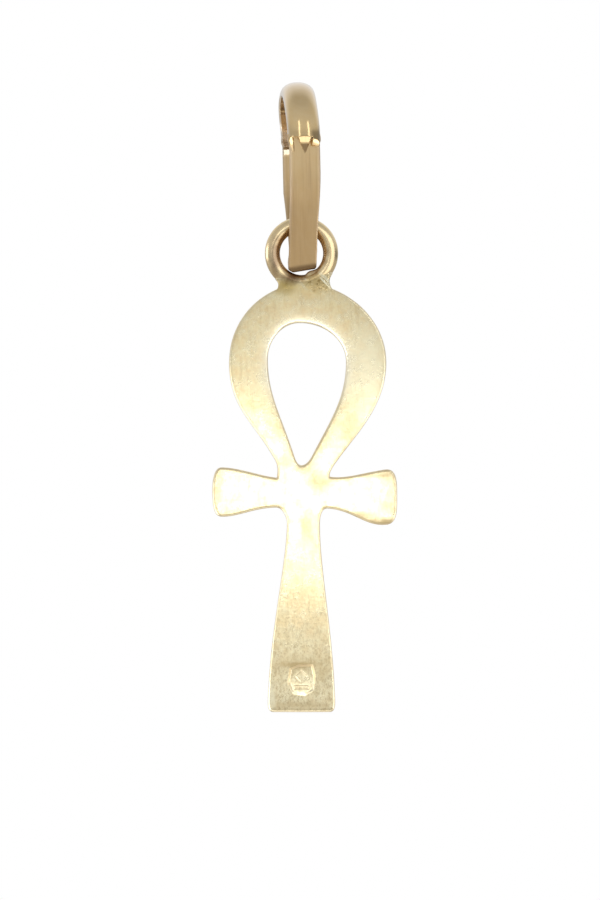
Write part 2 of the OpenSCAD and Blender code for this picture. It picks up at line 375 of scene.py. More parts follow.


# Rubbed dull satin, and painted shade at the right arm's edges, the punch and the foot: right of
# the middle, up from the origin, size across and up, then a spot's darkness, a highlight's
# softness.
DULL_AND_SHADE_SPOTS = (
    (1.15, -21.2, 0.62, 0.48, 0.5), (0.55, -23.7, 0.42, 0.7, 0.45), (4.85, -20.9, 0.4, 0.35, 0.4),
    (4.75, -22.5, 0.3, 0.3, 0.3), (-0.75, -20.1, 0.35, 0.35, 0.4), (2.85, -18.3, 0.45, 0.9, 0.35),
    (0.35, -31.2, 2.1, 0.5, 0.45), (0.9, -29.6, 0.7, 0.4, 0.2), (-1.0, -28.6, 0.4, 0.5, 0.3),
    (0.0, -31.26, 0.9, 0.15, 0.6), (1.35, -31.85, 0.3, 0.35, 0.4), (4.35, -23.62, 1.0, 0.36, 0.95),
    (3.1, -23.05, 0.9, 0.17, 0.6), (5.0, -23.65, 0.45, 0.35, 0.6), (3.9, -20.86, 1.4, 0.1, 0.35),
    (-0.2, -33.45, 1.5, 0.12, 0.4),
)
# Painted highlights on the plate, one on the foot's lower left edge, listed as above.
PAINTED_HIGHLIGHTS = ((-1.52, -33.2, 0.24, 0.9, 0.45), (3.95, -14.8, 1.0, 2.2, 0.6))


def satin_gold(plate):
    """The plate's satin back, its rubbed edges painted paler as a highlight, painted shade,
    highlights and a glow round the hole, and the pitted solder under the ring.
    """
    material, tree, surface, coords, rim, halo = gold("satin_gold_plate", "rim", "halo")
    grain = effect(tree, satin_grain, coords, fineness=6000.0, pits=0.35)
    felt = effect(tree, fine_scratches, coords, across=9000.0, along=1300.0, angle=0.05)
    upright = effect(tree, fine_scratches, coords, across=7000.0, along=1100.0,
                     angle=math.pi / 2 + 0.06)
    patina = effect(tree, handled_gold, coords, clean=(*plate.pale, 1.0),
                    handled=(*plate.warm, 1.0), patches=620.0)
    dull_and_shade = 0.0
    for x, z, across, up, share in DULL_AND_SHADE_SPOTS:
        spot = near(tree, coords, (x, -0.5, z), (across, 0.6, up), 0.55)
        dull_and_shade = sums(tree, "MULTIPLY_ADD", spot, share, dull_and_shade)
    painted_highlight = sums(tree, "ADD", *(
        near(tree, coords, (x, -0.5, z), (across, 0.6, up), soft)
        for x, z, across, up, soft in PAINTED_HIGHLIGHTS), clamp=True)
    mottle = spread(tree, noise(tree, coords, 3600.0, 3.0, 0.75, (1.0, 1.0, 0.6)), 0.45, 0.66)
    specks = spread(tree, noise(tree, coords, 9500.0, 2.0, 0.6, (1.0, 1.0, 0.7)), 0.5, 0.66)
    height = node(tree, "ShaderNodeSeparateXYZ", {0: coords}).outputs["Z"]
    low_down = spread(tree, height, -0.026, -0.031, 0.12, 0.5)
    foot = spread(tree, height, -0.028, -0.031)
    pitting = near(tree, coords, (HANG[0] + 0.95, 0.0, HANG[2] - 3.2), (0.85, 1.0, 0.5), 0.5)
    solder = near(tree, coords, (HANG[0], 0.0, HANG[2] - 3.45), (1.7, 1.0, 0.6), 0.4)
    left_neck = near(tree, coords, (-0.75, 0.0, HANG[2] - 3.4), (0.55, 0.8, 0.4), 0.6)
    tone = layered(tree, patina["Color"], (
        (grain["Speckle"], 0.75, (1.0, 0.93, 0.64)),
        (upright["Lines"], 0.35, (0.7, 0.53, 0.27)),
        (felt["Lines"], 0.2, (1.0, 0.9, 0.6)),
        (foot, 0.5, (1.0, 0.93, 0.66)),
        (mottle, low_down, (0.6, 0.47, 0.25)),
        (specks, low_down, (0.5, 0.38, 0.19)),
        # Rubbed dull patches, partly painted shade along edges and over the punch.
        (dull_and_shade, 1.0, (0.55, 0.44, 0.24)),
        # Painted highlights.
        (painted_highlight, 0.6, (1.0, 0.95, 0.7)),
        # Painted glow round the upper part of the loop's hole.
        (halo, 0.75, (1.0, 0.98, 0.84)),
        # Rounded edges painted paler, as a highlight.
        (rim, 0.5, (0.97, 0.87, 0.68)),
        (solder, 0.45, (0.88, 0.7, 0.33)),
        (left_neck, 0.8, (0.48, 0.34, 0.08))))
    tone = filed_marks(tree, coords, tone, pitting)
    tree.links.new(oxide(tree, coords, tone), surface["Base Color"])
    rough = spread(tree, grain["Speckle"], 0.0, 1.0, plate.roughness + 0.05,
                   plate.roughness - 0.05)
    for mask, duller in ((dull_and_shade, 0.25), (rim, 0.08)):
        rough = sums(tree, "MULTIPLY_ADD", mask, duller, rough)
    tree.links.new(rough, surface["Roughness"])
    pitted = sums(tree, "MULTIPLY", pitting, noise(tree, coords, 5200.0, 3.0, 0.65))
    bumped(tree, surface, [
        (noise(tree, coords, 380.0, 1.0, 0.4), 0.02), (grain["Height"], 0.008),
        (upright["Height"], 0.003), (pitted, 0.05)])
    return material


def wire_gold(tint, roughness):
    """The ring's polished wire: hair scratches, slow waves, a darker left, painted shade on its
    inner left, and the brown inside that is partly the torch's and partly painted shade.
    """
    material, tree, surface, coords = gold("polished_gold_ring")
    handled = (tint[0] * 0.95, tint[1] * 0.9, tint[2] * 0.84, 1.0)
    patina = effect(tree, handled_gold, coords, clean=(*tint, 1.0), handled=handled,
                    patches=900.0)
    hair = effect(tree, fine_scratches, coords, across=14000.0, along=1500.0, angle=0.6)
    # The ring a little darker on its left; painted shade on its inner left.
    darker_left = near(tree, coords, (HANG[0] - 1.6, 0.0, HANG[2] - 1.75), (0.6, 0.7, 1.1), 0.4)
    shaded = near(tree, coords, (HANG[0] - 1.4, -0.15, HANG[2] - 1.75), (0.25, 0.5, 1.0), 0.35)
    filed = near(tree, coords, (HANG[0] + 0.62, 0.0, HANG[2] - 2.95), (0.65, 0.7, 0.35), 0.4)
    tone = layered(tree, patina["Color"], ((darker_left, 0.25, (0.6, 0.46, 0.31)),
                                           (shaded, 0.85, (0.36, 0.25, 0.16))))
    tone = filed_marks(tree, coords, tone, filed)
    tree.links.new(oxide(tree, coords, tone), surface["Base Color"])
    rough = roughness
    for mask, duller in ((hair["Lines"], 0.1), (filed, 0.15)):
        rough = sums(tree, "MULTIPLY_ADD", mask, duller, rough)
    tree.links.new(rough, surface["Roughness"])
    bumped(tree, surface, [
        (sums(tree, "MULTIPLY", filed, noise(tree, coords, 5200.0, 3.0, 0.65)), 0.03),
        (noise(tree, coords, 700.0), 0.015), (hair["Height"], 0.0007)])
    return material


def bail_gold(bail):
    """The bail's one strip: polished where it is domed, drawn and duller on the flat legs, with
    painted shade in its recesses, painted highlights on its edges, a painted sheen where it turns
    away, and its insides painted paler.
    """
    material, tree, surface, coords, polish, recess, inner, rim = gold(
        "bail_gold", "polish", "recess", "inner", "rim")
    legs_only = sums(tree, "SUBTRACT", 1.0, polish)
    patina = effect(tree, handled_gold, coords, clean=(*bail.gold, 1.0),
                    handled=(0.85, 0.63, 0.33, 1.0), patches=800.0)
    drawn, streaks = (effect(tree, fine_scratches, coords, across=across, along=along,
                             angle=math.pi / 2 + 0.02)
                      for across, along in ((9500.0, 300.0), (3000.0, 130.0)))
    lines = sums(tree, "MULTIPLY_ADD", drawn["Lines"], 0.4,
                 sums(tree, "MULTIPLY", streaks["Lines"], 0.6))
    height = node(tree, "ShaderNodeSeparateXYZ", {0: coords}).outputs["Z"]
    # The legs darker and browner towards the tip.
    darker_downwards = spread(tree, height, -0.0025, -0.0075, 0.1, 0.42)
    # Painted reflection: the polished dome greyer and paler where it turns away from the view.
    facing = node(tree, "ShaderNodeLayerWeight", {"Blend": 0.5}).outputs["Facing"]
    grazing_sheen = spread(tree, facing, 0.3, 0.85, 0.0, 0.8)
    tone = layered(tree, patina["Color"], (
        (lines, legs_only, (0.66, 0.46, 0.25)),
        (darker_downwards, legs_only, (0.5, 0.33, 0.18)),
        # The legs' edges painted paler, as a highlight.
        (rim, 0.4, (0.98, 0.8, 0.6)),
        (grazing_sheen, polish, (0.86, 0.82, 0.79)),
        # Inside faces painted paler, to lighten the reflections between the legs.
        (inner, 1.0, (1.0, 0.9, 0.77)),
        # Painted shade at the tip's end, under the nose, inside the arch and on the back leg.
        (recess, 1.0, (0.3, 0.2, 0.105))))
    tree.links.new(tone, surface["Base Color"])
    rough = bail.leg_roughness
    for mask, duller in ((polish, bail.dome_roughness - bail.leg_roughness),
                         (drawn["Lines"], 0.06)):
        rough = sums(tree, "MULTIPLY_ADD", mask, duller, rough)
    tree.links.new(rough, surface["Roughness"])
    bumped(tree, surface, [
        (noise(tree, coords, 600.0), 0.02),
        (sums(tree, "MULTIPLY", drawn["Height"], legs_only), 0.006),
        (noise(tree, coords, 9000.0), 0.0008)])
    return material


# ---------------------------------------------------------------- outlines and fields

def face_loops(cad, level):
    """The outlines of a CAD node's flat face at a level of Y, as closed loops of (x, z)."""
    mesh = bmesh.new()
    mesh.from_mesh(cad.data)
    bmesh.ops.remove_doubles(mesh, verts=mesh.verts, dist=1e-7)
    on_face = [f for f in mesh.faces if all(abs(v.co.y / MM - level) < 1e-3 for v in f.verts)]
    chosen = set(on_face)
    links = {}
    for f in on_face:
        for e in f.edges:
            if sum(g in chosen for g in e.link_faces) == 1:
                a, b = e.verts
                links.setdefault(a.index, set()).add(b.index)
                links.setdefault(b.index, set()).add(a.index)
    mesh.verts.ensure_lookup_table()
    loops, left = [], set(links)
    while left:
        path = [min(left)]
        left.discard(path[0])
        while True:
            onward = [n for n in sorted(links[path[-1]]) if n in left]
            if not onward:
                break
            path.append(onward[0])
            left.discard(onward[0])
        loops.append(np.array([(mesh.verts[i].co.x / MM, mesh.verts[i].co.z / MM)
                               for i in path]))
    mesh.free()
    return sorted(loops, key=lambda p: -np.ptp(p[:, 0]) * np.ptp(p[:, 1]))


def smoothed(loop, parts=3, corner=0.6):
    """A closed loop with a smooth curve between its points; sharp corners stay sharp."""
    before, after = np.roll(loop, 1, 0), np.roll(loop, -1, 0)
    way_in, way_out = loop - before, after - loop
    turn = np.abs(np.angle((way_out[:, 0] + 1j * way_out[:, 1])
                           / (way_in[:, 0] + 1j * way_in[:, 1])))
    slope = (after - before) / np.linalg.norm(after - before, axis=1)[:, None]
    sharp = (turn > corner)[:, None]
    out = np.where(sharp, way_out / np.linalg.norm(way_out, axis=1)[:, None], slope)
    into = np.where(sharp, way_in / np.linalg.norm(way_in, axis=1)[:, None], slope)
    reach = np.linalg.norm(way_out, axis=1)[:, None] / 3
    a, d = loop, after
    b, c = a + out * reach, d - np.roll(into, -1, 0) * reach
    t = (np.arange(parts) / parts)[None, :, None]
    a, b, c, d = (p[:, None] for p in (a, b, c, d))
    points = (1 - t) ** 3 * a + 3 * (1 - t) ** 2 * t * b + 3 * (1 - t) * t * t * c + t ** 3 * d
    return points.reshape(-1, 2)


def outline_distance(loops, px, pz):
    """Distance to a set of closed loops, negative where an odd number of them surrounds."""
    near_sq = np.full(px.shape, 1e9)
    odd = np.zeros(px.shape, bool)
    for loop in loops:
        for (ax, az), (bx, bz) in zip(loop, np.roll(loop, -1, 0)):
            ex, ez = bx - ax, bz - az
            wx, wz = px - ax, pz - az
            t = np.clip((wx * ex + wz * ez) / (ex * ex + ez * ez + 1e-15), 0, 1)
            near_sq = np.minimum(near_sq, (wx - t * ex) ** 2 + (wz - t * ez) ** 2)
            if az != bz:
                odd ^= ((az > pz) != (bz > pz)) & (px < ax + (pz - az) / ez * ex)
    return np.where(odd, -1.0, 1.0) * np.sqrt(near_sq)


class FlatMap:
    """Values of a function of (x, z) on a fine flat grid, read at any point with a cubic
    filter."""

    def __init__(self, values_at, low, high, step):
        xs, zs = (np.arange(a, b, step) for a, b in zip(low, high))
        self.low, self.high, self.step = (xs[0], zs[0]), (xs[-1], zs[-1]), step
        self.values = values_at(*np.meshgrid(xs, zs, indexing="ij"))

    def __call__(self, px, pz):
        u, w = (px - self.low[0]) / self.step, (pz - self.low[1]) / self.step
        iu = np.clip(np.floor(u).astype(int), 1, self.values.shape[0] - 3)
        iw = np.clip(np.floor(w).astype(int), 1, self.values.shape[1] - 3)
        total = 0.0
        for i, wu in enumerate(self.weights(u - iu)):
            for k, ww in enumerate(self.weights(w - iw)):
                total = total + wu * ww * self.values[iu - 1 + i, iw - 1 + k]
        return total

    def holds(self, px, pz):
        """Where points lie on the map, clear of its border."""
        (x0, z0), (x1, z1), step = self.low, self.high, self.step
        return (px > x0 + step) & (px < x1 - step) & (pz > z0 + step) & (pz < z1 - step)

    @staticmethod
    def weights(t):
        return (-0.5 * t + t * t - 0.5 * t ** 3, 1 - 2.5 * t * t + 1.5 * t ** 3,
                0.5 * t + 2 * t * t - 1.5 * t ** 3, -0.5 * t * t + 0.5 * t ** 3)


def eased(value, low, high):
    """0 at low and 1 at high, with soft ends."""
    t = np.clip((value - low) / (high - low), 0, 1)
    return t * t * (3 - 2 * t)


def melt(a, b, flow):
    """Union of two fields that run into each other."""
    h = np.clip(0.5 + 0.5 * (b - a) / flow, 0, 1)
    return b + (a - b) * h - flow * h * (1 - h)


def shared_part(a, b, flow):
    """Where two fields lie over each other, with a soft edge."""
    return -melt(-a, -b, flow)


def pressed(flat, y, half, soft):
    """A flat outline given a thickness, or a map of it, and rounded edges."""
    q, r = flat + soft, np.abs(y) - half + soft
    return np.minimum(np.maximum(q, r), 0) + np.hypot(np.maximum(q, 0), np.maximum(r, 0)) - soft


def past_line(across, up, point, way):
    """How far a place lies past a line through a point, in the way that leads off the line."""
    return (across - point[0]) * way[0] + (up - point[1]) * way[1]


def touching(c1, r1, c2, r2, radius, side):
    """Centre of a circle that touches two circles from outside, on one side of their line."""
    gap = math.dist(c1, c2)
    along = ((c2[0] - c1[0]) / gap, (c2[1] - c1[1]) / gap)
    a, b = r1 + radius, r2 + radius
    run = (gap * gap + a * a - b * b) / (2 * gap)
    off = side * math.sqrt(a * a - run * run)
    return (c1[0] + run * along[0] - off * along[1], c1[1] + run * along[1] + off * along[0])


def towards(start, end, reach):
    """The point that lies a length away from one point, on the way to another."""
    share = reach / math.dist(start, end)
    return (start[0] + (end[0] - start[0]) * share, start[1] + (end[1] - start[1]) * share)


def closer(low, high, step, tight, tight_low, tight_high):
    """Grid places with a wide step, and a tight one over a stretch."""
    return np.concatenate([
        np.arange(low, tight_low, step), np.arange(tight_low, tight_high, tight),
        np.arange(tight_high, high + step, step)])


def skin(field, axes):
    """Mesh of the surface where a field on a grid changes sign: a point in each cell that it
    crosses, and a face over each grid edge that it cuts, turned outwards."""
    inside = field < 0
    cells = tuple(n - 1 for n in field.shape)
    total, count = np.zeros((*cells, 3)), np.zeros(cells)
    cuts = []
    for axis in range(3):
        low, high = [slice(None)] * 3, [slice(None)] * 3
        low[axis], high[axis] = slice(None, -1), slice(1, None)
        low, high = tuple(low), tuple(high)
        cut = inside[low] != inside[high]
        where = np.argwhere(cut)
        f0, f1 = field[low][cut], field[high][cut]
        place = np.stack([axes[n][where[:, n]] for n in range(3)], axis=1)
        place[:, axis] += f0 / (f0 - f1) * (
            axes[axis][where[:, axis] + 1] - axes[axis][where[:, axis]])
        others = [n for n in range(3) if n != axis]
        corners = []
        for back in ((0, 0), (1, 0), (1, 1), (0, 1)):
            cell = where.copy()
            cell[:, others] -= back
            if not np.all((cell >= 0) & (cell < cells)):
                raise RuntimeError("the metal reaches the edge of its grid")
            np.add.at(total, tuple(cell.T), place)
            np.add.at(count, tuple(cell.T), 1)
            corners.append(cell)
        cuts.append((corners, inside[low][cut] != (axis == 1)))
    used = count > 0
    index = -np.ones(cells, int)
    index[used] = np.arange(used.sum())
    quads = []
    for corners, kept in cuts:
        quad = np.stack([index[tuple(c.T)] for c in corners], axis=1)
        quad[~kept] = quad[~kept][:, ::-1]
        quads.append(quad)
    return total[used] / count[used][:, None], np.concatenate(quads)


def settled(points, field, steps=3, eps=2e-3):
    """Points moved onto a field's surface, and their outward normals."""
    def slope(p):
        return np.stack([
            (field(*(p + d).T) - field(*(p - d).T)) / (2 * eps) for d in np.eye(3) * eps
        ], axis=1)
    for _ in range(steps):
        g = slope(points)
        step = field(*points.T) / np.maximum((g * g).sum(1), 0.1)
        points = points - np.clip(step, -0.05, 0.05)[:, None] * g
    g = slope(points)
    return points, g / np.linalg.norm(g, axis=1)[:, None]


def cast(field, axes):
    """A field's surface as faces, with their points and the outward normals there."""
    grid = np.meshgrid(*axes, indexing="ij")
    points, faces = skin(field(*(g.ravel() for g in grid)).reshape(grid[0].shape), axes)
    return (faces, *settled(points, field))


def metal_object(name, points, faces, material, **attributes):
    """A finished smooth object, in metres, with its values at the points."""
    mesh = bpy.data.meshes.new(name)
    mesh.from_pydata((points * MM).tolist(), [], faces.tolist())
    for title, values in attributes.items():
        layer = mesh.attributes.new(title, "FLOAT", "POINT")
        layer.data.foreach_set("value", np.ascontiguousarray(values, np.float32))
    mesh.polygons.foreach_set("use_smooth", np.ones(len(mesh.polygons), bool))
    mesh.materials.append(material)
    mesh.update()
    made = bpy.data.objects.new(name, mesh)
    bpy.context.scene.collection.objects.link(made)
    return made


# ---------------------------------------------------------------- plate and solder

MAP_STEP, PUNCH_STEP = 0.05, 0.02        # spacing of the flat maps of outlines and punch
MARGIN = 0.5                             # how far a map goes past its outline
CLEAR = 0.2                              # the grid's border, and the free height over the punch
TIGHTER, TIGHT_INSET = 2.2, 0.42         # the punch's finer grid, and its start inside the map
SOLDER_START = (-0.1, 0.15)              # where the solder's thickness takes over at an edge
HOLE_REACH = 0.42                        # width over which the face falls away at the hole
UNDER_RING = 0.012                       # how far this wire stays under the ring's own surface
EMBLEM_SLOPE, PUNCH_SLOPE = 0.07, 0.2    # widths of the slanted sides of emblem and sunk field
PUNCH_EDGE = 0.04                        # roundness of the sunk field's border
# The hole's paler border is a painted glow.
PAINTED_GLOW_REACH, PAINTED_GLOW_LEVELS = 0.3, (-17.5, -15.5)    # the paler border of the hole, at its upper end

# The solder that ran up inside the ring, right of the bail's tip: it lies below two slopes, each
# with a point from the ring's middle and the way down off the slope.
RUN_UP = (((0.6, -0.93), (0.24, -0.971)), ((0.22, -1.17), (0.79, -0.614)))
RUN_UP_HALF = 0.26


def punch_dent(plate, loops):
    """Map of how deep the struck field is sunk, with its lozenge and bar."""
    outline = np.concatenate(loops)
    low, high = outline.min(0) - MARGIN, outline.max(0) + MARGIN

    def dent(x, z):
        sunk, raised = (outline_distance(p, x, z) for p in (loops[:1], loops[1:]))
        up = z - (low[1] + high[1]) / 2
        depth = plate.punch_depth + plate.punch_tilt * up - plate.punch_dish * up * up \
            - plate.emblem_rise * np.clip(0.5 - raised / EMBLEM_SLOPE, 0, 1)
        wall = np.clip(0.35 - sunk / PUNCH_SLOPE, 0, 1)
        return depth * wall * wall * (3 - 2 * wall) - CLEAR * np.clip(sunk / 0.08, 0, 1)

    return FlatMap(dent, low, high, PUNCH_STEP)


def solder_neck(plate, ring_r, wire, top, low, high):
    """Map of the solder between ring and plate, hollowed on each side by a round fillet."""
    ring, outer = (HANG[0], HANG[2] - ring_r), ring_r + wire
    crown = (HANG[0] + plate.crown_shift, top - plate.crown_radius)
    left, right = (touching(ring, outer, crown, plate.crown_radius, fillet, side)
                   for fillet, side in ((plate.left_fillet, -1), (plate.right_fillet, 1)))
    corners = np.array([
        towards(ring, left, outer), towards(ring, right, outer),
        towards(crown, right, plate.crown_radius), towards(crown, left, plate.crown_radius)])
    hollows = ((left, plate.left_fillet), (right, plate.right_fillet), (ring, ring_r))

    def neck(x, z):
        field = outline_distance([corners], x, z)
        for (cx, cz), reach in hollows:
            field = np.maximum(field, reach - np.hypot(x - cx, z - cz))
        return field

    return FlatMap(neck, low, high, MAP_STEP)


class ANKH_OT_plate(bpy.types.Operator):
    """Make the ankh's plate with rounded edges, the solder neck and the sunk punch field"""
    bl_idname = "ankh.plate"
    bl_label = "Plate and Solder"

    def execute(self, context):
        plate, ring = in_mm(context.scene.ankh_plate), in_mm(context.scene.ankh_ring)
        low, high = (np.array(c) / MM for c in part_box("ankh"))
        half, wire = -low[1], ring.wire / 2
        ring_r = (ring.diameter - ring.wire) / 2
        loops = face_loops(frame["nodes"]["ankh"], -half)
        body, struck = [smoothed(p) for p in loops[:2]], loops[2:]
        top = body[0][:, 1].max()
        flat_low, flat_high = low[[0, 2]] - MARGIN, high[[0, 2]] + MARGIN
        flat, hole = (FlatMap(partial(outline_distance, p), flat_low, flat_high, MAP_STEP)
                      for p in (body, body[1:]))
        neck = solder_neck(plate, ring_r, wire, top, flat_low, flat_high)
        dent = punch_dent(plate, struck)

        def face_level(x, z, edge, both):
            """Half the thickness: thinner up the solder, and falling away at every edge."""
            solder = plate.solder_thickness / 2 - half - plate.solder_thinning * np.clip(
                z - top, 0, 2)
            return half + solder * eased(edge, *SOLDER_START) \
                - plate.edge_fall * np.exp(np.minimum(both, 0) / plate.fall_width) \
                - plate.hole_fall * np.exp(-np.maximum(hole(x, z), 0) / HOLE_REACH)

        def ring_foot(x, y, z):
            """The ring's wire, a hair thinner than the ring itself, and the run-up inside it."""
            across, up = x - HANG[0], z - HANG[2] + ring_r
            reach = np.hypot(across, up)
            loop = np.hypot(reach - ring_r, y) - wire + UNDER_RING
            run_up = -melt(*(past_line(across, up, *slope) for slope in RUN_UP), 0.1)
            run_up = shared_part(np.maximum(run_up, reach - ring_r),
                                 np.abs(y) - RUN_UP_HALF, 0.15)
            return melt(loop, run_up, 0.08)

        def metal(x, y, z):
            edge = flat(x, z)
            both = np.minimum(edge, neck(x, z))
            sheet = pressed(both, y, face_level(x, z, edge, both), plate.edge_softness)
            whole = np.maximum(melt(sheet, ring_foot(x, y, z), plate.solder_flow),
                               np.abs(y) - half)
            dig = np.where(dent.holds(x, z), dent(x, z), -CLEAR) - half - y
            return shared_part(whole, dig, PUNCH_EDGE)

        xs, zs = (closer(low[axis] - CLEAR, high[axis] + CLEAR, plate.mesh_step,
                         plate.mesh_step / TIGHTER, dent.low[n] + TIGHT_INSET,
                         dent.high[n] - TIGHT_INSET)
                  for n, axis in enumerate((0, 2)))
        near_face = np.array([-half - 0.05, -half - 0.015, -half + 0.025, -half + 0.06])
        ys = np.concatenate([near_face, np.linspace(-half + 0.11, half - 0.11, 13),
                             -near_face[::-1]])
        faces, points, normals = cast(metal, (xs, ys, zs))
        # The rounded edges: painted paler as a highlight, and a little rougher.
        rim = np.clip((np.hypot(normals[:, 0], normals[:, 2]) - 0.25) / 0.5, 0, 1)
        # A painted glow round the hole, at its upper part.
        halo = np.exp(-np.maximum(hole(points[:, 0], points[:, 2]), 0) / PAINTED_GLOW_REACH) \
            * eased(points[:, 2], *PAINTED_GLOW_LEVELS)
        made = metal_object("ankh_plate", points, faces, satin_gold(plate), rim=rim, halo=halo)
        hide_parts("ankh")
        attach(made, "ankh")
        return {"FINISHED"}


# ---------------------------------------------------------------- ring

def ring_tree(material):
    """Geometry nodes for a wire bent round into a closed ring."""
    tree, given, result = new_group("Wire Ring", "GeometryNodeTree", [
        ("Geometry", "Geometry", None), ("Outer Diameter", "Float", 0.004),
        ("Wire Thickness", "Float", 0.0008), ("Steps Round", "Int", 160),
        ("Steps Across", "Int", 40), ("Centre", "Vector", None),
    ], [("Geometry", "Geometry")])
    tree.is_modifier = True
    ring_r = sums(tree, "MULTIPLY", 0.5, sums(
        tree, "SUBTRACT", given["Outer Diameter"], given["Wire Thickness"]))
    path = node(tree, "GeometryNodeCurvePrimitiveCircle", {
        "Resolution": given["Steps Round"], "Radius": ring_r})
    wire = node(tree, "GeometryNodeCurvePrimitiveCircle", {
        "Resolution": given["Steps Across"],
        "Radius": sums(tree, "MULTIPLY", 0.5, given["Wire Thickness"])})
    swept = node(tree, "GeometryNodeCurveToMesh", {
        "Curve": path.outputs["Curve"], "Profile Curve": wire.outputs["Curve"]})
    placed = node(tree, "GeometryNodeTransform", {
        "Geometry": swept.outputs["Mesh"], "Translation": given["Centre"],
        "Rotation": (math.pi / 2, 0.0, 0.0)})
    smooth = node(tree, "GeometryNodeSetShadeSmooth", {"Geometry": placed.outputs["Geometry"]})
    real = node(tree, "GeometryNodeRealizeInstances", {
        "Geometry": smooth.outputs["Geometry"]})
    done = node(tree, "GeometryNodeSetMaterial", {
        "Geometry": real.outputs["Geometry"], "Material": material})
    tree.links.new(done.outputs["Geometry"], result["Geometry"])
    return tree


def applied(name, tree, **values):
    """Runs a geometry nodes tree on a new object and keeps its plain mesh."""
    made = bpy.data.objects.new(name, bpy.data.meshes.new(name))
    bpy.context.scene.collection.objects.link(made)
    modifier = made.modifiers.new("nodes", "NODES")
    modifier.node_group = tree
    for item in tree.interface.items_tree:
        key = item.name.lower().replace(" ", "_")
        if item.item_type == "SOCKET" and item.in_out == "INPUT" and key in values:
            modifier[item.identifier] = values[key]
    made.update_tag()
    bpy.context.view_layer.update()
    graph = bpy.context.evaluated_depsgraph_get()
    result = bpy.data.meshes.new_from_object(made.evaluated_get(graph), depsgraph=graph)
    made.modifiers.remove(modifier)
    made.data = result
    result.name = name
    return made


def turned_outwards(made):
    """Merges a mesh's seams and turns its faces outwards."""
    work = bmesh.new()
    work.from_mesh(made.data)
    bmesh.ops.remove_doubles(work, verts=work.verts, dist=1e-8)
    bmesh.ops.dissolve_degenerate(work, edges=work.edges, dist=1e-9)
    bmesh.ops.recalc_face_normals(work, faces=work.faces)
    work.to_mesh(made.data)
    work.free()


class ANKH_OT_ring(bpy.types.Operator):
    """Make the polished wire ring that is soldered on the plate"""
    bl_idname = "ankh.ring"
    bl_label = "Ring"

    def execute(self, context):
        ring = context.scene.ankh_ring
        ring_r = (ring.diameter - ring.wire) / 2
        made = applied(
            "ankh_ring", ring_tree(wire_gold(ring.gold, ring.roughness)),
            outer_diameter=ring.diameter, wire_thickness=ring.wire, steps_round=180,
            steps_across=44, centre=(HANG[0] * MM, 0.0, HANG[2] * MM - ring_r))
        turned_outwards(made)
        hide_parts("ankh")
        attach(made, "ankh")
        return {"FINISHED"}


# ---------------------------------------------------------------- bail

# The slanted facets left and right of the dome's nose: height at the middle, fall outwards and
# downwards, where it starts beside the middle, and how far it reaches below the ledge.
FACETS = ((0.98, 0.765, 0.25, 0.6, 0.5), (0.8, 0.467, 0.65, 0.33, 0.22))
DOME_POWER = 2.2                         # a fuller dome than a circle's
NOSE_START, NOSE_FALL = 0.35, 0.85       # the nose's start above the ledge, and its fall
TONGUE_TOP, TONGUE_HALF = 0.07, 0.25     # the pointed tongue's top below the ledge, half width
CREASE = 0.03                            # how softly the faces at the dome's end meet
EDGE, SIDE_EDGE, END_EDGE = 0.06, 0.07, 0.14     # roundness of the strip's edges and tip
FILED_EDGE = 0.04                        # and of the tip's corners, filed back inside the ring
ARCH_SHIFT, BACK_SHIFT, FRONT_SHIFT = 0.075, 0.125, 0.045    # how far they lie sidewards
LEG_TAPER = 0.07                         # how much a leg narrows downwards on each side
TWIST_STARTS, TWIST_ENDS = (-2.74, -2.9), (-8.2, -7.2)       # levels on the back leg
STEP_X, STEP_Y, STEP_Z, BORDER = 0.042, 0.05, 0.05, 0.15     # the grid and its border
LEDGE_GRID = (0.028, -3.3, -2.1)         # the tight step about the ledge, and its levels


